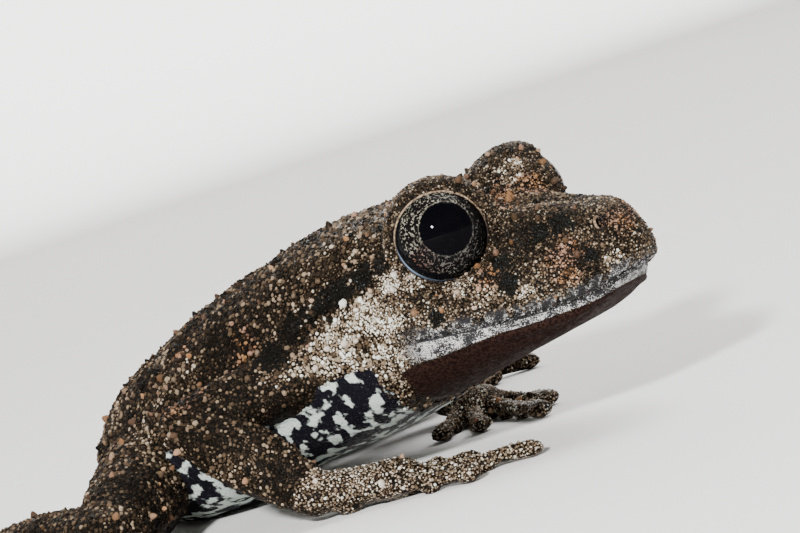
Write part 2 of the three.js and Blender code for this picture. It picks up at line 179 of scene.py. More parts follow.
# The light.
# A small bright key near the camera, up and to its left, stands in the eye. A wide soft lamp hangs overhead,
# a faint one behind for the outline, a broad one lights the backdrop, and the air all round is pale.
LAMPS = [  # name, lean from the camera's way, way of the lean in the picture, distance, size, watts
    ("key", 24.0, (-0.82, 0.57), 340.0, 30.0, 3.0),
    ("overhead", 96.0, (0.12, 1.0), 480.0, 380.0, 2.6),
    ("outline", 150.0, (-0.5, 0.8), 450.0, 220.0, 0.35),
]
BACKDROP_PLACE = -450.0 * back + np.array([0, 0, 640.0])
BACKDROP_SIZE, BACKDROP_POWER = 700.0, 29.0
for name, lean, (sideways, upwards), distance, size, power in LAMPS:
    swing = right * sideways + up * upwards
    swing /= np.linalg.norm(swing)
    way = back * np.cos(np.radians(lean)) + swing * np.sin(np.radians(lean))
    across = np.cross([0, 0, 1], way)
    across /= np.linalg.norm(across)
    lamp = bpy.data.objects.new(name, bpy.data.lights.new(name, "AREA"))
    lamp.data.shape = "DISK"
    lamp.data.size = size * MM
    lamp.data.energy = power
    lamp.matrix_world = aimed(CAMERA_TARGET + distance * way, across, np.cross(way, across), way)
    bpy.context.scene.collection.objects.link(lamp)
far_lamp = bpy.data.objects.new("backdrop", bpy.data.lights.new("backdrop", "AREA"))
far_lamp.data.size = BACKDROP_SIZE * MM
far_lamp.data.energy = BACKDROP_POWER
far_lamp.matrix_world = aimed(BACKDROP_PLACE, level, rise, back)
bpy.context.scene.collection.objects.link(far_lamp)
world = bpy.data.worlds.new("pale air")
world.use_nodes = True
world.node_tree.nodes["Background"].inputs["Color"].default_value = (0.9, 0.93, 1, 1)
world.node_tree.nodes["Background"].inputs["Strength"].default_value = 0.16
bpy.context.scene.world = world


# The skin.
# One closed skin over trunk, head and limbs, soft and moist. Trunk and limbs are lofts whose outlines run
# through named sizes, fused and evened out, with folds, lips and lids raised and pressed in it afterwards.
BODY_LENGTH = 38.2
INSET = 0.13  # the skin lies this far inside the outline that the granules reach
TRUNK = np.array([  # behind snout; bottom, low half width, low, half width, line, top half width, high, top
    [0.0, 8.5, 0.4, 8.55, 0.6, 8.8, 0.45, 9.15, 9.25],
    [0.4, 7.7, 0.9, 7.8, 1.3, 8.2, 0.9, 9.8, 10.0],
    [1.2, 7.1, 1.6, 7.15, 2.2, 7.6, 1.4, 10.4, 10.7],
    [2.6, 6.2, 2.7, 6.3, 3.5, 7.2, 2.0, 11.1, 11.4],
    [4.8, 5.3, 4.1, 5.6, 5.2, 7.2, 2.7, 11.7, 12.1],
    [8.3, 4.5, 5.2, 5.1, 6.6, 7.4, 3.4, 12.5, 12.9],
    [12.4, 3.5, 5.8, 4.4, 7.3, 7.6, 4.8, 13.1, 14.1],
    [17.0, 2.2, 5.7, 3.2, 7.2, 7.2, 5.2, 12.7, 14.1],
    [22.5, 1.4, 6.2, 2.5, 7.7, 6.2, 5.3, 11.5, 13.0],
    [28.0, 0.1, 6.0, 1.4, 7.3, 5.2, 4.9, 9.7, 11.4],
    [32.0, -0.3, 4.9, 0.9, 6.0, 4.8, 4.0, 8.2, 9.8],
    [35.2, 0.1, 3.6, 1.2, 4.5, 4.6, 3.0, 7.0, 8.4],
    [37.2, 1.4, 2.2, 2.2, 2.8, 4.2, 1.9, 5.8, 6.6],
    [BODY_LENGTH, 2.8, 0.9, 3.1, 1.1, 3.9, 0.8, 4.6, 4.9],
])
BOTTOM, WIDTH, LINE, TOP = 1, 4, 5, 8  # columns of TRUNK that are also used alone
MOUTH_CORNER = 12.6  # behind the snout tip
SIDES = (1, -1)


def steps_between(where, stations, values):
    """A cubic between stations. Its slope at each is the harmonic mean of the slopes on both sides, or level
    where these differ in sign, so it never overshoots."""
    k = np.clip(np.searchsorted(stations, where, side="right") - 1, 0, len(stations) - 2)
    slope = np.diff(values) / np.diff(stations)
    product = slope[:-1] * slope[1:]
    mean = np.where(product > 0, 2 * product / np.where(product > 0, slope[:-1] + slope[1:], 1), 0)
    tangent = np.concatenate([[slope[0]], mean, [slope[-1]]])
    span = stations[k + 1] - stations[k]
    t = (where - stations[k]) / span
    start, end = values[k], values[k + 1]
    bend = span * t * (1 - t) * ((1 - t) * tangent[k] - t * tangent[k + 1])
    return start + (end - start) * t * t * (3 - 2 * t) + bend


def trunk_size(kind, behind):
    """One of the trunk's sizes at distances behind the snout tip."""
    return steps_between(np.clip(behind, 0, BODY_LENGTH), TRUNK[:, 0], TRUNK[:, kind])


def spline(before, start, end, after, share):
    """A centripetal Catmull-Rom span: a cubic from start to end whose slopes come from the neighbours, each
    step weighted by the square root of its length."""
    step = [np.sqrt(np.linalg.norm(q - p, axis=-1, keepdims=True)) for p, q in
            ((before, start), (start, end), (end, after))]
    first = (start - before) / step[0] - (end - before) / (step[0] + step[1]) + (end - start) / step[1]
    second = (end - start) / step[1] - (after - start) / (step[1] + step[2]) + (after - end) / step[2]
    first = first * step[1]
    second = second * step[1]
    bend = -3 * start + 3 * end - 2 * first - second
    twist = 2 * start - 2 * end + first + second
    return start + share * (first + share * (bend + share * twist))


def trunk_rings(behind, turns):
    """Rings of the trunk: a closed spline through belly, lower flank, flank line, shoulder line and crown,
    drawn in by the granules' depth. turns runs from 0 at the belly by 0.5 at the crown to 1."""
    size = [trunk_size(kind, behind) for kind in range(1, 9)]
    bottom, low_width, low, width, line, top_width, high, top = size
    half = np.stack([
        np.stack([low_width - INSET, low + INSET], -1),
        np.stack([width - INSET, line], -1),
        np.stack([top_width - INSET, high - INSET], -1),
    ], 1)
    zero = np.zeros_like(bottom)
    belly = np.stack([zero, bottom + INSET], -1)[:, None]
    crown = np.stack([zero, top - INSET], -1)[:, None]
    ring = np.concatenate([belly, half, crown, half[:, ::-1] * (-1, 1)], 1)
    k = np.floor(turns * 8).astype(int) % 8
    share = (turns * 8 - np.floor(turns * 8))[None, :, None]
    outline = spline(ring[:, k - 1], ring[:, k], ring[:, (k + 1) % 8], ring[:, (k + 2) % 8], share)
    depth = np.repeat(-behind[:, None], len(turns), 1)
    return np.concatenate([depth[..., None], outline], -1)


def along_path(path, shares):
    """Points on an open spline through a path's points, at shares from 0 to 1 of its spans."""
    path = np.asarray(path, float)
    grown = np.concatenate([[2 * path[0] - path[1]], path, [2 * path[-1] - path[-2]]])
    spans = len(path) - 1
    k = np.clip(np.floor(shares * spans).astype(int), 0, spans - 1)
    share = (shares * spans - k)[:, None]
    return spline(grown[k], grown[k + 1], grown[k + 2], grown[k + 3], share)


bones = []  # what the skin is drawn over: a part's name, its middle line, and its radius along that


def limb(part, path, radii, flat=1.0, sides=28, steps=26):
    """A round-ended tube along a path, with radii given at even shares of it, squeezed top to bottom by flat.
    Each end is a half ball of five rings."""
    shares = np.linspace(0, 1, steps)
    middle = along_path(path, shares)
    radius = steps_between(shares, np.linspace(0, 1, len(radii)), np.array(radii, float)) - INSET * 0.7
    bones.append((part, middle, radius))
    heading = np.gradient(middle, axis=0)
    heading /= np.linalg.norm(heading, axis=1, keepdims=True)
    bend = np.radians([84, 66, 48, 30, 14])
    slide = np.concatenate([-np.sin(bend), np.zeros(steps), np.sin(bend[::-1])])
    scale = np.concatenate([np.cos(bend), np.ones(steps), np.cos(bend[::-1])])
    at = np.concatenate([np.zeros(5, int), np.arange(steps), np.full(5, steps - 1)])
    centre = middle[at] + heading[at] * (slide * radius[at])[:, None]
    across = np.cross([0, 0, 1], heading[at])
    across /= np.linalg.norm(across, axis=1, keepdims=True)
    over = np.cross(heading[at], across) * flat
    turn = np.linspace(0, 2 * np.pi, sides, endpoint=False)
    spread = across[:, None] * np.cos(turn)[None, :, None] + over[:, None] * np.sin(turn)[None, :, None]
    return closed(centre[:, None] + spread * (scale * radius[at])[:, None, None])


def ball(centre, radii, cut=None):
    """An ellipsoid as rings about an upright axis, or a ball cut flat across an axis at a distance from its
    centre: cut is that axis and distance."""
    turn = np.linspace(0, 2 * np.pi, 48, endpoint=False)
    pole = np.array([0, 0, 1.0])
    lowest = 0.05
    if cut is not None:
        pole = np.array(cut[0], float) / np.linalg.norm(cut[0])
        lowest = np.arccos(cut[1] / radii[0])
    fall = np.linspace(lowest, np.pi - 0.05, 32)
    first = np.cross(pole, [0.2, 0.3, 0.9] if abs(pole[2]) < 0.9 else [1.0, 0, 0])
    first /= np.linalg.norm(first)
    second = np.cross(pole, first)
    spread = first * np.cos(turn)[:, None] + second * np.sin(turn)[:, None]
    rings = spread * np.sin(fall)[:, None, None] + pole * np.cos(fall)[:, None, None]
    return closed(rings * np.array(radii) + np.array(centre))


skin_parts = []
behind = BODY_LENGTH * (1 - np.cos(np.pi * np.linspace(0, 1, 150))) / 2
skin_parts.append(closed(trunk_rings(behind, np.linspace(0, 1, 176, endpoint=False))))

# Lips, brows, lids and the fold behind the eye.
BROW_CENTRE, BROW_RADII = (-9.4, 3.4, 12.1), np.array([3.3, 2.6, 2.9]) - INSET
EYE_RADIUS = 2.5
LID_RADIUS = EYE_RADIUS + 0.46
RIM_AXIS = np.array([0.54, 0.82, -0.18]) / np.linalg.norm([0.54, 0.82, -0.18])
RIM = 0.8  # how far in front of the eye's centre the lids end
LIP_RADII = np.array([0.6, 1, 0.75, 1, 0.6]) * 0.36 + INSET * 0.7
LIPS = [(0.3, 0.2, -0.5), (-0.75, 0.48, -2.3)]  # lift off the lip line, inset from the skin, front
FOLD = [[-10.6, 5.2, 12.1], [-12.6, 5.9, 11.5], [-15.3, 6.3, 10.8], [-17.6, 6.8, 9.8], [-19.4, 7.0, 8.6]]
for side in SIDES:
    mirror = np.array([1, side, 1])
    skin_parts.append(ball(BROW_CENTRE * mirror, BROW_RADII))
    skin_parts.append(ball(EYE_CENTRE * mirror, np.full(3, LID_RADIUS), (RIM_AXIS * mirror, RIM)))
    skin_parts.append(limb("fold", FOLD * mirror, [0.3, 0.46, 0.5, 0.46, 0.3], sides=16))
for lift, inset, front in LIPS:
    lip_behind = np.array([0.9 - front, 3.4, 5.5, 9.0, MOUTH_CORNER - 0.4])
    lip = np.stack([
        -lip_behind,
        trunk_size(WIDTH, lip_behind) - inset,
        trunk_size(LINE, lip_behind) + lift,
    ], -1)
    chin = [[front, 0, trunk_size(LINE, np.array([1.0]))[0] + lift]]
    skin_parts.append(limb("lip", np.concatenate([lip[::-1], chin, lip * (1, -1, 1)]), LIP_RADII, steps=160))

# Arms and legs. y is the distance from the midline on the limb's own side.
ARMS = [
    (1, "left", [-18.4, 5.2, 7.2], [-25.6, 10.6, 6.9], [-22.9, 11.6, 1.5], 34),
    (-1, "right", [-18.2, 5.2, 7.2], [-24.2, 10.3, 6.4], [-17.4, 10.7, 1.5], 29),
]
HIP, KNEE, HEEL, ANKLE = [-33.6, 2.4, 3.6], [-27.0, 16.0, 2.3], [-41.4, 8.6, 1.7], [-37.2, 16.2, 1.15]
FOOT_AIM = -30
PALM_LENGTH, SOLE_LENGTH = 4.4, 5.2
DIGIT = 0.56  # half the thickness of a digit
FINGERS = [(3.6, 44, 1.2), (4.1, 20, 0.5), (7.0, -1, -0.3), (4.3, -18, -1.15)]  # length, fan, spread
TOES = [(3.4, 34, 1.25), (4.9, 20, 0.7), (7.0, 8, 0.15), (9.3, -4, -0.45), (6.4, -17, -1.1)]


def heading_of(degrees):
    """A level direction, degrees round from straight ahead."""
    return np.array([np.cos(np.radians(degrees)), np.sin(np.radians(degrees)), 0])


def digits(part, root, aim, side, fan_of):
    """Slender digits in a fan, each arched up from its root, thin in the middle, with a wide flat disc at its
    tip and a round pad under each joint."""
    made = []
    for length, fan, spread in fan_of:
        ahead = heading_of(-side * (aim + fan))
        base = root - side * spread * np.array([-ahead[1], ahead[0], 0])
        shares = np.array([-0.12, 0.3, 0.65, 0.88, 1])
        path = base + ahead * (length * shares)[:, None]
        path[:, 2] = DIGIT * np.array([1.5, 1.35, 1.1, 1, 0.9])
        made.append(limb(part, path, DIGIT * np.array([1.35, 1.05, 0.92, 1.08, 1.2]), 0.9, 18))
        disc = base + ahead * (length + 0.05)
        disc[2] = DIGIT * 0.8
        made.append(ball(disc, [DIGIT * 1.3, DIGIT * 1.3, DIGIT * 0.8]))
        for share in [0.35, 0.65] if length > 6 else [0.5]:
            pad = base + ahead * length * share
            pad[2] = DIGIT * 0.5
            made.append(ball(pad, DIGIT * np.array([0.95, 0.95, 0.75])))
    return made


for side, word, shoulder, elbow, wrist, aim in ARMS:
    mirror = np.array([1, side, 1])
    shoulder, elbow, wrist = (np.array(p) * mirror for p in (shoulder, elbow, wrist))
    ahead = heading_of(-side * aim)
    knuckles = (wrist + PALM_LENGTH * ahead) * (1, 1, 0) + (0, 0, 0.95)
    heel_of_hand = (wrist + 1.6 * ahead) * (1, 1, 0) + (0, 0, 0.5)
    skin_parts.append(limb("arms", [shoulder, (shoulder + elbow) / 2, elbow], [2.0, 1.8, 1.6]))
    skin_parts.append(limb("arms", [elbow, elbow + 0.45 * (wrist - elbow), wrist], [1.6, 1.85, 1.35]))
    skin_parts.append(limb("hands", [wrist, (wrist + knuckles) / 2, knuckles], [1.45, 1.4, 1.55], 0.75))
    skin_parts.append(ball(heel_of_hand, [0.85, 0.85, 0.6]))
    skin_parts += digits("hands", knuckles, aim, side, FINGERS)
for side in SIDES:
    mirror = np.array([1, side, 1])
    hip, knee, heel, ankle = (np.array(p) * mirror for p in (HIP, KNEE, HEEL, ANKLE))
    ahead = heading_of(-side * FOOT_AIM)
    toes_root = (ankle + SOLE_LENGTH * ahead) * (1, 1, 0) + (0, 0, 1.0)
    skin_parts.append(limb("legs", [hip, hip + 0.4 * (knee - hip), knee], [2.7, 2.75, 1.75]))
    skin_parts.append(limb("legs", [knee, knee + 0.4 * (heel - knee), heel], [1.75, 2.1, 1.25]))
    skin_parts.append(limb("legs", [heel, (heel + ankle) / 2, ankle], [1.3, 1.05, 1.05]))
    skin_parts.append(limb("feet", [ankle, (ankle + toes_root) / 2, toes_root], [1.1, 1.25, 1.5], 0.65))
    skin_parts += digits("feet", toes_root, FOOT_AIM, side, TOES)

# All of it becomes one skin, on small even cells.
SKIN_CELL = 0.175
counts = np.cumsum([0] + [len(points) for points, faces in skin_parts])
loose = new_mesh(
    "loose",
    np.concatenate([points for points, faces in skin_parts]),
    np.concatenate([faces + start for (points, faces), start in zip(skin_parts, counts)]),
)
fuse = loose.modifiers.new("fuse", "REMESH")
fuse.mode = "VOXEL"
fuse.voxel_size = SKIN_CELL
SKIN_KEPT = 0.73  # share of the triangles kept, so that the skin has fewer than 200,000
thin = loose.modifiers.new("thin", "DECIMATE")
thin.ratio = SKIN_KEPT


def read_mesh(shown):
    """Corner places and triangles of an object with its modifiers applied."""
    made = shown.evaluated_get(bpy.context.evaluated_depsgraph_get()).to_mesh()
    points = np.empty(len(made.vertices) * 3)
    made.vertices.foreach_get("co", points)
    made.calc_loop_triangles()
    faces = np.empty(len(made.loop_triangles) * 3, np.int32)
    made.loop_triangles.foreach_get("vertices", faces)
    return points.reshape(-1, 3), faces.reshape(-1, 3)


skin, skin_faces = read_mesh(loose)
bpy.data.objects.remove(loose)
edges = np.concatenate([skin_faces[:, [0, 1]], skin_faces[:, [1, 2]], skin_faces[:, [2, 0]]])


def relaxed(points, weight, rounds):
    """Each corner moves towards the mean of its neighbours by its weight, so many times."""
    count = len(points)
    neighbours = np.bincount(edges[:, 0], minlength=count)[:, None]
    for _ in range(rounds):
        total = np.stack([np.bincount(edges[:, 0], points[edges[:, 1], k], count) for k in range(3)], -1)
        points = points + weight[:, None] * (total / neighbours - points)
    return points


def outward(points, faces):
    """Unit normals at corners: the sum of the crossed edges of the triangles that meet there."""
    a, b, c = (points[faces[:, k]] for k in range(3))
    face = np.cross(b - a, c - a)
    total = sum(
        np.stack([np.bincount(faces[:, k], face[:, axis], len(points)) for axis in range(3)], -1)
        for k in range(3)
    )
    return total / np.maximum(np.linalg.norm(total, axis=1, keepdims=True), 1e-12)


def smooth(low, high, value):
    """0 below low, 1 above high, and a smooth step between."""
    t = np.clip((value - low) / (high - low), 0, 1)
    return t * t * (3 - 2 * t)


def near(points, centre, reach):
    """1 at a point, falling smoothly to 0 at its reach."""
    return 1 - smooth(0, reach, np.linalg.norm(points - np.array(centre), axis=1))


def lumps(points, size, seed):
    """A smooth random field from -1 to 1: a random value at each corner of cubes of that size, blended along
    each axis by a smooth step."""
    values = np.random.default_rng(seed).uniform(-1, 1, 8192)
    q = points / size
    base = np.floor(q).astype(np.int64)
    f = q - base
    f = f * f * (3 - 2 * f)
    total = 0
    for corner in np.ndindex(2, 2, 2):
        c = base + np.array(corner)
        pick = (c[:, 0] * 73856093) ^ (c[:, 1] * 19349663) ^ (c[:, 2] * 83492791)
        share = np.prod(np.where(np.array(corner), f, 1 - f), axis=1)
        total = total + values[pick % len(values)] * share
    return total


# Joints between trunk and limbs are drawn over by skin.
joint_blend = np.full(len(skin), 0.06)
for side in SIDES:
    mirror = np.array([1, side, 1])
    for centre, reach in (((-19.6, 7.2, 7.2), 3.4), ((-32.0, 5.6, 3.6), 4.6), ((-13.4, 6.2, 8.0), 2.4)):
        joint_blend = np.maximum(joint_blend, 0.6 * near(skin, centre * mirror, reach))
    for centre in (HEEL, KNEE, ANKLE):
        joint_blend = np.maximum(joint_blend, 0.5 * near(skin, centre * mirror, 2.2))
for side, word, shoulder, elbow, wrist, aim in ARMS:
    mirror = np.array([1, side, 1])
    joint_blend = np.maximum(joint_blend, 0.5 * near(skin, np.array(elbow) * mirror, 2.6))
    joint_blend = np.maximum(joint_blend, 0.5 * near(skin, np.array(wrist) * mirror, 2.0))
skin = relaxed(skin, joint_blend, 36)

# The lids end in a flat rim round the eyeball.
for side in SIDES:
    mirror = np.array([1, side, 1])
    axis = RIM_AXIS * mirror
    offset = skin - EYE_CENTRE * mirror
    ahead = offset @ axis
    aside = np.linalg.norm(offset - ahead[:, None] * axis, axis=1)
    covers = (ahead > RIM) & (aside < EYE_RADIUS) & (np.linalg.norm(offset, axis=1) < 3.3)
    skin[covers] -= (ahead[covers] - RIM)[:, None] * axis


def trunk_place(points):
    """Where a point lies on the trunk: its turn round it from the belly, and its height off the skin."""
    table_x = np.linspace(0, BODY_LENGTH, 160)
    rings = trunk_rings(table_x, np.linspace(0, 1, 129)[:-1])
    centre = (trunk_size(TOP, table_x) + trunk_size(BOTTOM, table_x)) / 2
    y, z = rings[..., 1], rings[..., 2] - centre[:, None]
    angles = np.linspace(-np.pi, np.pi, 129)
    radius = np.empty((len(table_x), len(angles)))
    for row in range(len(table_x)):
        angle = np.arctan2(y[row], -z[row])
        order = np.argsort(angle)
        radius[row] = np.interp(angles, angle[order], np.hypot(y[row], z[row])[order], period=2 * np.pi)
    along = np.clip(-points[:, 0] / BODY_LENGTH, 0, 1) * (len(table_x) - 1.001)
    row = along.astype(int)
    middle = np.interp(-points[:, 0], table_x, centre)
    angle = np.arctan2(points[:, 1], -(points[:, 2] - middle))
    column = (angle + np.pi) / (2 * np.pi) * (len(angles) - 1.001)
    cell = column.astype(int)
    s, t = along - row, column - cell
    reach = (radius[row, cell] * (1 - s) + radius[row + 1, cell] * s) * (1 - t)
    reach = reach + (radius[row, cell + 1] * (1 - s) + radius[row + 1, cell + 1] * s) * t
    ends = np.maximum(points[:, 0], -BODY_LENGTH - points[:, 0])
    height = np.maximum(np.hypot(points[:, 1], points[:, 2] - middle) - reach, ends)
    return angle / (2 * np.pi) + 0.5, height


PARTS = ("trunk", "arms", "hands", "legs", "feet")


def body_place(points):
    """For each point the nearest part, as a number in PARTS, with a map place on it: the share along it and
    the turn round it, each limb segment in a strip of its own."""
    turn, height = trunk_place(points)
    part = np.zeros(len(points), int)
    place = np.stack([np.clip(-points[:, 0] / BODY_LENGTH, 0, 1), turn], -1)
    best = height
    limbs = [bone for bone in bones if bone[0] in PARTS]
    for number, (name, middle, radius) in enumerate(limbs):
        apart = np.linalg.norm(points[:, None] - middle[None, ::2], axis=2) - radius[None, ::2]
        nearest = apart.argmin(1)
        gap = apart[np.arange(len(points)), nearest]
        closer = gap < best
        best = np.minimum(best, gap)
        part[closer] = PARTS.index(name)
        off = points[closer] - middle[::2][nearest[closer]]
        round_it = np.arctan2(off[:, 2], off[:, 1]) / (2 * np.pi) + 0.5
        place[closer] = np.stack([
            nearest[closer] / (len(middle[::2]) - 1),
            (number + round_it) / len(limbs),
        ], -1)
    return part, place, height


skin_part, _, skin_height = body_place(skin)
normals = outward(skin, skin_faces)


def mouth_height(points):
    """Height above the seam of the mouth, in millimetres, of points on the head."""
    return points[:, 2] - (trunk_size(LINE, np.maximum(-points[:, 0], 1)) - 0.25)


# The seam of the mouth is pressed in, the nostrils are pits, and the back and limbs are lumpy.
NOSTRIL_PLACE = (-1.6, 1.6, 10.35)  # left nostril, moved to the nearest corner of the skin
nostril_corner = np.linalg.norm(skin - NOSTRIL_PLACE, axis=1).argmin()
NOSTRIL, NOSTRIL_AXIS = skin[nostril_corner].copy(), normals[nostril_corner].copy()
seam = mouth_height(skin)
on_head = (skin_height < 0.8) & (skin[:, 0] > -MOUTH_CORNER - 0.3)
press = np.where(on_head, 0.3 * np.exp(-((seam / 0.17) ** 2)), 0)
press *= 1 - smooth(MOUTH_CORNER - 1, MOUTH_CORNER + 0.3, -skin[:, 0])
for side in SIDES:
    mirror = np.array([1, side, 1])
    hole = np.linalg.norm((skin - NOSTRIL * mirror) / (1.25, 1, 1), axis=1)
    press += 0.55 * np.exp(-((hole / 0.26) ** 2)) - 0.1 * np.exp(-(((hole - 0.46) / 0.15) ** 2))
    press += 0.35 * near(skin, (-4.6, 3.7, 9.7) * mirror, 2.6)
above = smooth(-0.6, 0.6, normals[:, 2] + 0.25)
eye_clear = smooth(2.9, 3.6, np.minimum(*(
    np.linalg.norm(skin - EYE_CENTRE * (1, side, 1), axis=1) for side in SIDES
)))
lip_clear = np.where(on_head, smooth(0.7, 1.6, np.abs(seam + 0.3)), 1)
rough = np.array([1, 0.8, 0.35, 0.7, 0.3])[skin_part] * above * eye_clear * lip_clear
rise_by = rough * (0.13 * lumps(skin, 2.3, 3) + 0.09 * lumps(skin, 1.1, 4)) + 0.02 * lumps(skin, 0.6, 5)
skin = skin + normals * (rise_by - press)[:, None]
skin[:, 2] = np.maximum(skin[:, 2], 0)
normals = outward(skin, skin_faces)

# Markings, as smooth fields worked out from a place on the body, so that skin and granules share them.
PALE_SPOTS = [  # centre and reach, left side
    ((-8.1, 5.7, 9.5), 1.3), ((-7.0, 5.6, 8.8), 1.1), ((-10.6, 6.1, 10.3), 1.0), ((-11.8, 6.4, 10.7), 1.0),
    ((-13.4, 6.9, 9.4), 1.7), ((-12.2, 7.1, 8.6), 1.5), ((-15.5, 7.0, 8.4), 2.2), ((-14.75, 6.95, 9.5), 1.6),
    ((-16.6, 7.1, 7.9), 2.0), ((-18.2, 7.2, 7.7), 1.2), ((-19.2, 8.2, 7.7), 1.4), ((-1.1, 2.1, 8.4), 0.9),
    ((-7.9, 1.9, 13.9), 1.5), ((-27.5, 4.9, 9.9), 0.8), ((-14.3, 7.1, 6.2), 2.0), ((-5.0, 5.0, 8.3), 0.9),
    ((-2.6, 3.5, 8.2), 0.8), ((-13.1, 7.0, 6.7), 1.8), ((-12.6, 6.9, 5.9), 1.3),
]
BLACK_SPOTS = [
    ((-12.2, 5.6, 11.5), 1.1), ((-13.4, 6.0, 11.3), 1.2), ((-14.75, 6.5, 10.9), 1.3),
    ((-15.5, 6.4, 10.6), 1.2), ((-16.1, 6.3, 10.4), 1.2), ((-17.2, 6.4, 10.0), 1.1),
    ((-18.4, 6.6, 9.5), 1.3), ((-19.8, 7.6, 8.6), 1.4), ((-20.3, 5.9, 9.9), 0.9),
    ((-3.3, 2.3, 11.0), 0.9), ((-4.3, 2.9, 10.8), 0.8), ((-5.6, 5.2, 8.9), 1.0),
    ((-9.4, 6.7, 8.3), 0.6), ((-10.3, 6.2, 9.3), 0.5), ((-2.0, 2.6, 8.9), 0.6), ((-6.2, 4.4, 9.9), 0.9),
]
LIP_STATIONS = [2.0, 6.5, 10.0, MOUTH_CORNER]  # behind the snout tip
LIP_DEPTHS = [0.25, 0.36, 0.9, 1.1]  # of the pale band under the seam at each station
WARM_SPOTS = [
    ((-3.2, 3.2, 9.0), 2.2), ((-8.0, 0.4, 12.9), 2.0), ((-7.0, 1.8, 12.7), 1.6), ((-21.9, 6.8, 9.5), 2.0),
    ((-27.5, 4.9, 9.9), 1.6), ((-6.4, 5.2, 9.6), 1.4), ((-0.9, 0.8, 10.2), 1.6), ((-24, 10, 7.5), 2.5),
]


def most(points, spots):
    """The strongest of several spots at each point, the same on both sides of the body."""
    folded = points * (1, 0, 1) + np.abs(points[:, 1:2]) * (0, 1, 0)
    return np.max([near(folded, centre, reach) for centre, reach in spots], axis=0)


def marks(points):
    """Fields that say what colours a place has. Pale, black and warm patches, belly, throat, cheek, hand and
    dusk, the darker rear, run from 0 to 1. lip is the height over the mouth's seam in millimetres, or under
    it as a share of the pale band's depth, and nostril the distance from a nostril."""
    part, _, _ = body_place(points)
    folded = points * (1, 0, 1) + np.abs(points[:, 1:2]) * (0, 1, 0)
    behind = -points[:, 0]
    over_lip = mouth_height(points)
    head = 1 - smooth(MOUTH_CORNER - 1.0, MOUTH_CORNER + 1.0, behind)
    flank = trunk_size(LINE, behind)
    on_trunk = part == 0
    below = np.where(on_trunk, 1 - smooth(-1.3, -0.3, points[:, 2] - flank - 0.6 * (behind > 20)), 0)
    below = below * smooth(MOUTH_CORNER + 0.6, MOUTH_CORNER + 2.4, behind) * (1 - smooth(30, 35, behind))
    band = np.interp(behind, LIP_STATIONS, LIP_DEPTHS)
    band_share = np.where(over_lip < 0, over_lip / band, over_lip)
    throat = np.where(on_trunk, head * (1 - smooth(-1.25, -1.02, band_share)), 0)
    cheek = np.where(on_trunk, smooth(6, 10, behind) * (1 - smooth(17, 19.5, behind)), 0)
    cheek = cheek * (1 - smooth(0.8, 3.2, np.abs(points[:, 2] - 8.3)))
    return {
        "root": points,
        "pale": most(points, PALE_SPOTS),
        "black": most(points, BLACK_SPOTS),
        "warm": most(points, WARM_SPOTS),
        "belly": below,
        "throat": throat,
        "cheek": cheek,
        "hand": ((part == 2) | (part == 4)).astype(float),
        "lip": np.where(on_trunk & (head > 0), band_share / np.maximum(head, 0.05), 9.0),
        "dusk": smooth(13, 25, behind),
        "nostril": np.linalg.norm(folded - NOSTRIL, axis=1),
    }


def write_fields(shown, fields):
    """Stores arrays on a mesh's corners under their names: numbers, or places as vectors."""
    for name, values in fields.items():
        flat = values.ndim == 1
        kept = shown.data.attributes.new(name, "FLOAT" if flat else "FLOAT_VECTOR", "POINT")
        kept.data.foreach_set("value" if flat else "vector", values.astype(np.float32).ravel())


frog_skin = new_mesh("skin", placed(skin), skin_faces)
skin_marks = marks(skin)
write_fields(frog_skin, skin_marks)


class Paint:
    """A material's nodes, made by short calls. Each takes sockets or plain numbers."""

    def __init__(self, name):
        self.material = bpy.data.materials.new(name)
        self.material.use_nodes = True
        self.tree = self.material.node_tree
        self.shader = self.tree.nodes["Principled BSDF"]

    def node(self, kind, inputs=(), **settings):
        made = self.tree.nodes.new("ShaderNode" + kind)
        for key, value in settings.items():
            setattr(made, key, value)
        for key, value in dict(inputs).items():
            self.plug(made.inputs[key], value)
        return made

    def plug(self, socket, value):
        if isinstance(value, bpy.types.NodeSocket):
            self.tree.links.new(value, socket)
        else:
            socket.default_value = value

    def field(self, name, output="Fac"):
        return self.node("Attribute", attribute_name=name).outputs[output]

    def math(self, operation, a, b=0.0, clamp=False):
        return self.node("Math", {0: a, 1: b}, operation=operation, use_clamp=clamp).outputs[0]

    def times(self, a, b):
        return self.math("MULTIPLY", a, b)

    def plus(self, *terms):
        total = terms[0]
        for term in terms[1:]:
            total = self.math("ADD", total, term)
        return total

    def step(self, value, low, high, start=0.0, end=1.0):
        """start up to low, end from high, and a smooth step between."""
        inputs = {"Value": value, "From Min": low, "From Max": high, "To Min": start, "To Max": end}
        return self.node("MapRange", inputs, interpolation_type="SMOOTHSTEP").outputs[0]

    def mix(self, share, low, high):
        inputs = {0: share, 6: low, 7: high}
        return self.node("Mix", inputs, data_type="RGBA").outputs[2]

    def noise(self, where, scale, detail=2.0):
        return self.node("TexNoise", {"Vector": where, "Scale": scale, "Detail": detail}).outputs["Fac"]

    def ramp(self, value, stops):
        made = self.node("ValToRGB", {"Fac": value})
        bar = made.color_ramp.elements
        while len(bar) < len(stops):
            bar.new(0.5)
        for element, (at, colour) in zip(bar, stops):
            element.position = at
            element.color = (*colour, 1)
        return made.outputs["Color"]


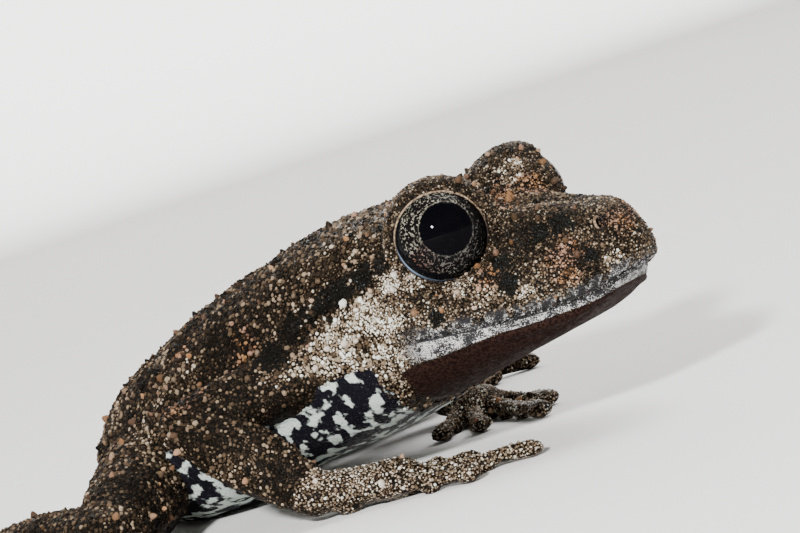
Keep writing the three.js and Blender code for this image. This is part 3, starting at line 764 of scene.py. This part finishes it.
# The dark end of this scale is the ground between granules: partly the skin's own dark colour, partly painted
# shade between the grains.
SKIN_SCALE = [  # from the dark ground between granules to the palest granules
    (0.0, (0.004, 0.003, 0.002)), (0.25, (0.020, 0.013, 0.008)), (0.45, (0.078, 0.053, 0.032)),
    (0.65, (0.22, 0.165, 0.112)), (0.85, (0.44, 0.40, 0.33)), (1.0, (0.64, 0.63, 0.57)),
]
ORANGE = (0.31, 0.135, 0.05, 1)
PINK = (0.33, 0.175, 0.12, 1)
BELLY_BLACK = (0.005, 0.0045, 0.007, 1)
BELLY_PALE = (0.42, 0.47, 0.43, 1)
# The throat's maroons are painted far darker than its own colour, as painted shade under the chin.
SHADED_MAROON = (0.007, 0.0032, 0.0026, 1)
SHADED_DULL_MAROON = (0.019, 0.0095, 0.0072, 1)
GREY_WHITE = (0.45, 0.44, 0.43, 1)
GREY_BLACK = (0.018, 0.017, 0.018, 1)
GLINT = (0.75, 0.95, 1.0, 1)  # of wet black skin


def skin_paint(name, granular):
    """Skin colour from the fields of marks(): a scale from dark ground to cream, pushed up in pale patches
    and down in black ones, with belly, throat and lips painted over. granular is true on the granules. Off
    the granules the ground is darker, partly its own colour and partly painted shade between the grains."""
    paint = Paint(name)
    root = paint.field("root", "Vector")
    large = paint.noise(root, 0.42, 3.0)
    small = paint.noise(root, 1.7, 3.0)
    fine = paint.noise(root, 7.0, 2.0)
    wobble = paint.math("SUBTRACT", small, 0.5)
    cells = paint.node("TexVoronoi", {"Vector": root, "Scale": 8.0})
    # gap is painted shade: bare skin is darker at the edges of the bump's raised cells, in the recesses
    # between grains.
    gap = paint.step(cells.outputs["Distance"], 0.3, 0.62)
    pale = paint.step(paint.plus(paint.field("pale"), wobble), 0.18, 0.5)
    rag = paint.plus(paint.times(paint.math("SUBTRACT", fine, 0.5), 1.4), paint.times(wobble, 2.1))
    black = paint.step(paint.plus(paint.field("black"), rag), 0.3, 0.5)
    tone = paint.field("tone") if granular else paint.math("SUBTRACT", cells.outputs["Color"], gap)
    # Off the granules the ground is set 0.12 darker: partly its own darker colour, partly painted shade
    # between granules.
    light = paint.plus(
        paint.times(tone, 0.62), paint.times(large, 0.9), paint.times(small, 0.45),
        -0.58 if granular else -0.7, paint.times(pale, 0.3),
        paint.times(paint.field("cheek"), 0.2), paint.times(paint.field("hand"), 0.38),
    )
    light = paint.math("SUBTRACT", light, paint.times(paint.field("dusk"), 0.12))
    light = paint.math("SUBTRACT", light, paint.times(black, 0.8), clamp=True)
    colour = paint.ramp(light, SKIN_SCALE)
    warm = paint.plus(paint.field("warm"), paint.times(wobble, 1.4))
    warm = paint.times(paint.step(warm, 0.25, 0.75), paint.step(light, 0.15, 0.5, 0.0, 0.55))
    hue = paint.mix(paint.step(paint.noise(root, 1.1, 1.0), 0.42, 0.58), ORANGE, PINK)
    colour = paint.mix(warm, colour, hue)

    blotch = paint.step(paint.noise(root, 1.15, 3.0), 0.50, 0.58)
    speck = paint.step(fine, 0.60, 0.66)
    ventral = paint.mix(blotch, BELLY_BLACK, BELLY_PALE)
    ventral = paint.mix(paint.times(speck, 0.03), ventral, GREY_WHITE)
    belly = paint.step(paint.plus(paint.field("belly"), wobble), 0.35, 0.5)
    colour = paint.mix(belly, colour, ventral)

    # The throat is its own maroon, painted near black as painted shade under the chin.
    chin = paint.mix(paint.step(fine, 0.42, 0.58), SHADED_MAROON, SHADED_DULL_MAROON)
    throat = paint.step(paint.field("throat"), 0.3, 0.8)
    colour = paint.mix(throat, colour, chin)

    lip = paint.field("lip")
    dust = paint.plus(paint.noise(root, 15.0, 2.0), paint.times(small, 0.7))
    band = paint.mix(paint.step(dust, 0.76, 0.86), GREY_WHITE, GREY_BLACK)
    ragged = paint.plus(lip, paint.times(wobble, 2.0))
    upper = paint.times(paint.step(lip, -0.1, 0.0), paint.step(ragged, 0.35, 0.9, 1.0, 0.0))
    lower = paint.times(paint.step(lip, -1.12, -0.95), paint.step(lip, -0.1, 0.0, 1.0, 0.0))
    dark_upper = paint.mix(paint.step(small, 0.42, 0.54), GREY_BLACK, band)
    ahead = paint.plus(paint.node("SeparateXYZ", {"Vector": root}).outputs["X"], wobble)
    forward = paint.step(ahead, -12.3, -10.3)
    colour = paint.mix(paint.times(upper, forward), colour, dark_upper)
    colour = paint.mix(paint.times(lower, forward), colour, band)
    # The seam of the mouth is painted grey-black, as painted shade in its pressed-in groove.
    seam = paint.times(paint.step(paint.math("ABSOLUTE", lip), 0.02, 0.07, 1.0, 0.0), forward)
    colour = paint.mix(seam, colour, GREY_BLACK)
    # Each nostril is painted black, as painted shade inside its pit.
    colour = paint.mix(paint.step(paint.field("nostril"), 0.28, 0.36, 1.0, 0.0), colour, BELLY_BLACK)
    paint.plug(paint.shader.inputs["Base Color"], colour)

    wet = paint.step(paint.noise(root, 3.0, 3.0), 0.35, 0.65, 0.18, 0.42)
    dull = paint.times(paint.math("MAXIMUM", throat, paint.field("dusk")), 0.35)
    paint.plug(paint.shader.inputs["Roughness"], paint.plus(wet, dull))
    plain_shine = paint.step(throat, 0.0, 1.0, 0.05 if granular else 0.035, 0.02)
    paint.plug(paint.shader.inputs["Specular IOR Level"], paint.plus(paint.times(black, 0.02), plain_shine))
    paint.plug(paint.shader.inputs["Specular Tint"], paint.mix(black, (1, 1, 1, 1), GLINT))
    paint.shader.inputs["Subsurface Weight"].default_value = 0.08
    paint.shader.inputs["Subsurface Radius"].default_value = (0.0009, 0.0004, 0.0002)
    paint.shader.inputs["Subsurface Scale"].default_value = 0.5
    raised = paint.math("SUBTRACT", 1.0, cells.outputs["Distance"])
    grain = paint.node("Bump", {"Height": raised, "Strength": 0.7, "Distance": 0.00007})
    paint.plug(paint.shader.inputs["Normal"], grain.outputs["Normal"])
    return paint.material


write_fields(frog_skin, {"tone": np.zeros(len(skin))})
frog_skin.data.materials.append(skin_paint("moist skin", False))
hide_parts(*[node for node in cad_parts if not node.startswith("eye_")])
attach(frog_skin, "root")


# The granules.
# The skin is covered with close-set round granules, finest before the eye and coarsest on the flanks and
# arms. Each is a small closed dome set on the skin at its own root, scattered so that none crowds another.
def scattered(spacing, field, seed):
    """Roots and outward directions of points thrown at the skin at least a spacing apart, as densely as a
    field of the skin from 0 to 1 says."""
    source = new_mesh("scatter", skin, skin_faces)
    write_fields(source, {"grow": field})
    tree = bpy.data.node_groups.new("scatter", "GeometryNodeTree")
    tree.interface.new_socket(name="Geometry", in_out="INPUT", socket_type="NodeSocketGeometry")
    tree.interface.new_socket(name="Geometry", in_out="OUTPUT", socket_type="NodeSocketGeometry")
    entry, leave = tree.nodes.new("NodeGroupInput"), tree.nodes.new("NodeGroupOutput")
    throw = tree.nodes.new("GeometryNodeDistributePointsOnFaces")
    throw.distribute_method = "POISSON"
    throw.inputs["Distance Min"].default_value = spacing
    throw.inputs["Density Max"].default_value = 3.2 / spacing**2
    throw.inputs["Seed"].default_value = seed
    grow = tree.nodes.new("GeometryNodeInputNamedAttribute")
    grow.data_type = "FLOAT"
    grow.inputs["Name"].default_value = "grow"
    store = tree.nodes.new("GeometryNodeStoreNamedAttribute")
    store.data_type = "FLOAT_VECTOR"
    store.domain = "POINT"
    store.inputs["Name"].default_value = "out"
    corners = tree.nodes.new("GeometryNodePointsToVertices")
    tree.links.new(entry.outputs[0], throw.inputs["Mesh"])
    tree.links.new(grow.outputs["Attribute"], throw.inputs["Density Factor"])
    tree.links.new(throw.outputs["Points"], store.inputs["Geometry"])
    tree.links.new(throw.outputs["Normal"], store.inputs["Value"])
    tree.links.new(store.outputs["Geometry"], corners.inputs["Points"])
    tree.links.new(corners.outputs["Mesh"], leave.inputs[0])
    source.modifiers.new("scatter", "NODES").node_group = tree
    made = source.evaluated_get(bpy.context.evaluated_depsgraph_get()).to_mesh()
    roots = np.empty(len(made.vertices) * 3)
    made.vertices.foreach_get("co", roots)
    out = np.empty(len(made.vertices) * 3)
    made.attributes["out"].data.foreach_get("vector", out)
    bpy.data.objects.remove(source)
    return roots.reshape(-1, 3), out.reshape(-1, 3)


def domes(name, roots, out, radius, height, sides, profile, seed, warmth=0.0):
    """Closed domes on the skin. Each is a stack of rings and two poles about its outward axis: a base sunk
    below the root, rings whose share of the radius and of the height the profile gives, and a top. Its map
    place is a patch 0.003 across. warmth is the least warmth of its colour."""
    dice = np.random.default_rng(seed)
    count = len(roots)
    lean = out + dice.normal(0, 0.16, (count, 3))
    lean /= np.linalg.norm(lean, axis=1, keepdims=True)
    first = np.cross(lean, np.where(np.abs(lean[:, 2:]) < 0.8, [0, 0, 1.0], [1.0, 0, 0]))
    first /= np.linalg.norm(first, axis=1, keepdims=True)
    second = np.cross(lean, first)
    turn = 2 * np.pi * np.arange(sides) / sides + dice.uniform(0, 2 * np.pi, (count, 1))
    stretch = dice.uniform(0.82, 1.18, (count, 1, 1))
    cos, sin = np.cos(turn)[..., None], np.sin(turn)[..., None]
    spread = first[:, None] * cos * stretch + second[:, None] * sin / stretch
    wide, high, upright = radius[:, None, None], height[:, None, None], lean[:, None]
    rings = [roots[:, None] + wide * share * spread + high * lift * upright for share, lift in profile]
    top = (roots + height[:, None] * lean)[:, None]
    base = (roots - (height * 0.5)[:, None] * lean)[:, None]
    points = np.concatenate([*rings, top, base], 1)
    j = np.arange(sides)
    k = (j + 1) % sides
    top_at, base_at = len(profile) * sides, len(profile) * sides + 1
    last_ring = top_at - sides
    faces = np.concatenate([
        np.stack([np.full(sides, base_at), k, j], -1),
        grid_faces(len(profile), sides),
        np.stack([last_ring + j, last_ring + k, np.full(sides, top_at)], -1),
    ])
    corners = points.shape[1]
    all_faces = (faces[None] + (np.arange(count) * corners)[:, None, None]).reshape(-1, 3)
    shown = new_mesh(name, placed(points.reshape(-1, 3)), all_faces)
    place = body_place(roots)[1]
    fields = marks(roots)
    fields["tone"] = np.maximum(dice.uniform(0, 1, count) ** 1.5, 0.8 * warmth)
    fields["warm"] = np.maximum(fields["warm"], warmth)
    write_fields(shown, {key: np.repeat(values, corners, axis=0) for key, values in fields.items()})
    around = np.concatenate([turn] * len(profile) + [np.zeros((count, 2))], 1)
    out_from = np.concatenate([np.repeat(np.linspace(1, 0.5, len(profile)), sides), [0, 0]])
    patch = 0.0015 * np.stack([np.cos(around), np.sin(around)], -1) * out_from[None, :, None]
    maps = (place * 0.99 + 0.005)[:, None] + patch
    layer = shown.data.uv_layers.new(name="OFBake")
    layer.data.foreach_set("uv", maps.reshape(-1, 2)[all_faces.ravel()].astype(np.float32).ravel())
    shown.data.materials.append(granule_skin)
    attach(shown, "root")


eye_distance = np.minimum(*(np.linalg.norm(skin - EYE_CENTRE * (1, side, 1), axis=1) for side in SIDES))
bare = np.maximum.reduce([
    smooth(0.35, 0.6, skin_marks["belly"]),
    smooth(0.3, 0.6, skin_marks["throat"]),
    (1 - smooth(0.58, 0.7, np.abs(skin_marks["lip"] + 0.5))) * (1 - smooth(10.3, 12.3, -skin[:, 0])),
    1 - smooth(0.42, 0.55, skin_marks["nostril"]),
    1 - smooth(EYE_RADIUS + 0.08, EYE_RADIUS + 0.2, eye_distance),
    1 - smooth(0.15, 0.5, skin[:, 2]),
    np.where(skin_part > 0, 1 - smooth(-0.75, -0.35, normals[:, 2]), 0),
])
grow_all = 1 - bare
fore = 1 - smooth(11.5, 14.5, -skin[:, 0])
fore = np.where(skin_part == 0, fore, 0)
granule_skin = skin_paint("granules", True)
HEAD_SPACING, BODY_SPACING = 0.108, 0.188
LOW_DOME = ((0.97, -0.3), (0.74, 0.6))  # share of the radius, share of the height
CONE = ((0.98, -0.35), (0.82, 0.3), (0.45, 0.76))
HAND_SHARE = 0.65  # granules on hands and feet are this much smaller
dice = np.random.default_rng(11)
GROUPS = [
    ("granules_head", HEAD_SPACING, grow_all * fore, 21),
    ("granules_body", BODY_SPACING, grow_all * (1 - fore), 22),
]
MOST_TRIANGLES = 190000
for name, spacing, field, seed in GROUPS:
    roots, out = scattered(spacing, field, seed)
    size = np.clip(dice.lognormal(-0.05, 0.34, len(roots)), 0.45, 1.9)
    on_hand = np.isin(body_place(roots)[0], (2, 4))
    radius = 0.55 * spacing * size * np.where(on_hand, HAND_SHARE, 1)
    height = radius * dice.uniform(0.5, 0.95, len(roots))
    order = np.argsort(roots[:, 0])
    sides = 5
    per_piece = MOST_TRIANGLES // (sides * 2 * len(LOW_DOME))
    for number, start in enumerate(range(0, len(order), per_piece)):
        some = order[start:start + per_piece]
        domes(f"{name}_{number + 1}", roots[some], out[some], radius[some], height[some], sides, LOW_DOME,
              seed + number)

# The warts.
# Larger tubercles stand among the granules on the back, brows, snout and limbs. They are paler, and many are
# orange or pinkish.
wart_field = grow_all * np.clip(above, 0, 1) * np.array([1, 0.8, 0.25, 0.8, 0.25])[skin_part]
wart_field *= smooth(0.6, 0.9, skin_marks["nostril"])
roots, out = scattered(0.75, wart_field * 0.4, 31)
size = np.clip(dice.lognormal(0, 0.3, len(roots)), 0.5, 1.6)
domes("warts", roots, out, 0.15 * size, 0.24 * size, 9, CONE, 33, 0.5)


# The eyes.
# Each eye is a glossy ball with a wide dark pupil. The iris is black with a fine worm-like net of silver and
# gold, densest above and behind, rusty behind and below, and a black ring parts it from the bluish white rim.
GAZE = np.array([0.68, 0.72, 0.13]) / np.linalg.norm([0.68, 0.72, 0.13])
PUPIL_ANGLE, IRIS_ANGLE = 33.0, 64.0


def eye_paint():
    """Eye colour from the angle off the gaze, in degrees, and from the net, which shows where a bent noise is
    above a limit: noise(spot + 0.35 bend) > spare, with spare higher where the net is sparse."""
    paint = Paint("wet eye")
    angle = paint.field("angle")
    spot = paint.field("spot", "Vector")
    bend = paint.node("TexNoise", {"Vector": spot, "Scale": 2.2, "Detail": 2.0}).outputs["Color"]
    moved = paint.node("VectorMath", {0: bend, 1: (0.35, 0.35, 0.35)}, operation="MULTIPLY").outputs[0]
    moved = paint.node("VectorMath", {0: spot, 1: moved}, operation="ADD").outputs[0]
    spare = paint.step(paint.field("dense"), 0.0, 1.0, 0.66, 0.555)
    worms = paint.math("SUBTRACT", paint.noise(moved, 7.6, 1.0), spare)
    lines = paint.step(worms, 0.0, 0.05)
    brink = paint.times(paint.step(angle, PUPIL_ANGLE + 0.6, PUPIL_ANGLE + 1.4),
                        paint.step(angle, PUPIL_ANGLE + 1.4, PUPIL_ANGLE + 2.4, 0.45, 0.0))
    lines = paint.math("MAXIMUM", lines, brink)
    above_net = paint.field("above")
    rear = paint.field("rear")
    net_colour = paint.mix(above_net, (0.10, 0.092, 0.084, 1), (0.20, 0.185, 0.145, 1))
    rust = paint.times(rear, paint.step(above_net, 0.35, 0.6, 1.0, 0.0))
    net_colour = paint.mix(paint.times(rust, 0.8), net_colour, (0.09, 0.036, 0.028, 1))
    patchy = paint.step(paint.noise(spot, 1.6, 2.0), 0.35, 0.6, 0.4, 1.0)
    shown = paint.step(paint.field("dense"), 0.0, 0.8, 0.12, 1.0)
    strength = paint.times(paint.times(lines, patchy), shown)
    iris = paint.mix(strength, (0.004, 0.0035, 0.0035, 1), net_colour)
    outside = paint.step(angle, PUPIL_ANGLE - 0.6, PUPIL_ANGLE + 0.6)
    colour = paint.mix(outside, (0.0012, 0.0012, 0.0018, 1), iris)
    colour = paint.mix(paint.step(angle, IRIS_ANGLE - 2, IRIS_ANGLE + 1), colour, (0.003, 0.003, 0.004, 1))
    colour = paint.mix(paint.step(angle, 79, 83), colour, (0.19, 0.26, 0.37, 1))
    paint.plug(paint.shader.inputs["Base Color"], colour)
    paint.shader.inputs["Roughness"].default_value = 0.3
    paint.shader.inputs["Specular IOR Level"].default_value = 0.0
    paint.shader.inputs["Coat Weight"].default_value = 1.0
    paint.shader.inputs["Coat Roughness"].default_value = 0.03
    paint.shader.inputs["Coat IOR"].default_value = 1.1
    relief = paint.node("Bump", {"Height": strength, "Strength": 0.4, "Distance": 0.00004})
    paint.plug(paint.shader.inputs["Normal"], relief.outputs["Normal"])
    return paint.material


wet_eye = eye_paint()
for side, word in ((1, "left"), (-1, "right")):
    mirror = np.array([1, side, 1])
    gaze = GAZE * mirror
    first = np.cross(gaze, [0, 0, 1.0])
    first /= np.linalg.norm(first)
    second = np.cross(first, gaze)
    fall = np.radians(np.linspace(0.8, 179, 110))
    turn = np.linspace(0, 2 * np.pi, 160, endpoint=False)
    spread = first * np.cos(turn)[None, :, None] + second * np.sin(turn)[None, :, None]
    rings = spread * np.sin(fall)[:, None, None] + gaze * np.cos(fall)[:, None, None]
    ball_points, ball_faces = closed(rings * EYE_RADIUS)
    eye = new_mesh("eye_ball_" + word, placed(ball_points + EYE_CENTRE * mirror), ball_faces)
    unit = ball_points / np.linalg.norm(ball_points, axis=1, keepdims=True)
    upward = unit @ second
    ahead = unit @ (np.cross([0, 0, 1.0], gaze) * side * -1)
    write_fields(eye, {
        "spot": unit * mirror * EYE_RADIUS,
        "angle": np.degrees(np.arccos(np.clip(unit @ gaze, -1, 1))),
        "above": smooth(-0.5, 0.8, upward - 0.5 * ahead),
        "rear": smooth(0.2, 0.8, -ahead),
        "dense": 1 - 0.75 * smooth(0.2, 0.9, ahead + 0.1 * upward),
    })
    eye.data.materials.append(wet_eye)
    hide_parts("eye_" + word)
    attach(eye, "root")


# The rims of lids and nostrils.
# A thin smooth fold of skin lies round each eyeball where the lids end, tan along the top as painted light
# and dark below as painted shade. Each nostril has such a fold round it, tan along its rear edge as painted
# light and dark elsewhere as painted shade.
RIM_RING = np.sqrt(EYE_RADIUS**2 - RIM**2) + 0.03
# The rims are painted tan on the lit side and dark on the other: painted light and painted shade.
RIM_SHADED = (0.02, 0.014, 0.014, 1)
rim_paint = Paint("rim")
rim_grain = rim_paint.noise(rim_paint.field("root", "Vector"), 6.0)
rim_lit_tan = rim_paint.mix(rim_paint.step(rim_grain, 0.4, 0.6), (0.09, 0.055, 0.034, 1), (0.27, 0.20, 0.13, 1))
rim_colour = rim_paint.mix(rim_paint.field("light"), RIM_SHADED, rim_lit_tan)
rim_paint.plug(rim_paint.shader.inputs["Base Color"], rim_colour)
rim_paint.shader.inputs["Roughness"].default_value = 0.4
rim_paint.shader.inputs["Specular IOR Level"].default_value = 0.2


def rim_fold(name, centre, axis, radius, squeeze, lit_way, thin, thick):
    """A round cord bent into a ring about an axis, squeezed front to back. It is thick and painted light (tan)
    on the side that faces lit_way, the way the light comes from, and thin and painted dark, as shade, on the
    other."""
    first = np.cross(axis, [0, 0, 1.0])
    first /= np.linalg.norm(first)
    second = np.cross(first, axis)
    turn = np.linspace(0, 2 * np.pi, 120, endpoint=False)
    round_it = np.linspace(0, 2 * np.pi, 10, endpoint=False)
    way = first * np.cos(turn)[:, None] + second * np.sin(turn)[:, None]
    path = first * (squeeze * np.cos(turn))[:, None] + second * np.sin(turn)[:, None]
    light = smooth(-0.2, 0.55, way @ lit_way)
    cord = way[:, None] * np.cos(round_it)[None, :, None] + axis * np.sin(round_it)[None, :, None]
    ring = centre + radius * path[:, None] + cord * (thin + (thick - thin) * light)[:, None, None]
    a = np.arange(ring.shape[0] * ring.shape[1]).reshape(ring.shape[:2])
    b, d = np.roll(a, -1, 1), np.roll(a, -1, 0)
    c = np.roll(b, -1, 0)
    faces = np.concatenate([np.stack([a, b, c], -1).reshape(-1, 3), np.stack([a, c, d], -1).reshape(-1, 3)])
    points = ring.reshape(-1, 3)
    p, q, r = (points[faces[:, k]] - centre for k in range(3))
    inside_out = np.einsum("ij,ij->i", p, np.cross(q, r)).sum() < 0
    rim = new_mesh(name, placed(points), faces[:, ::-1] if inside_out else faces)
    write_fields(rim, {"root": points, "light": np.repeat(light, len(round_it))})
    rim.data.materials.append(rim_paint.material)
    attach(rim, "root")


for side, word in ((1, "left"), (-1, "right")):
    mirror = np.array([1, side, 1])
    lids_end = (EYE_CENTRE + RIM_AXIS * RIM) * mirror
    upward, rearward = np.array([0, 0, 1.0]), np.array([-1.0, 0, 0])
    rim_fold("lid_rim_" + word, lids_end, RIM_AXIS * mirror, RIM_RING, 1.0, upward, 0.03, 0.055)
    rim_fold("nostril_rim_" + word, NOSTRIL * mirror, NOSTRIL_AXIS * mirror, 0.36, 0.66, rearward, 0.02, 0.075)
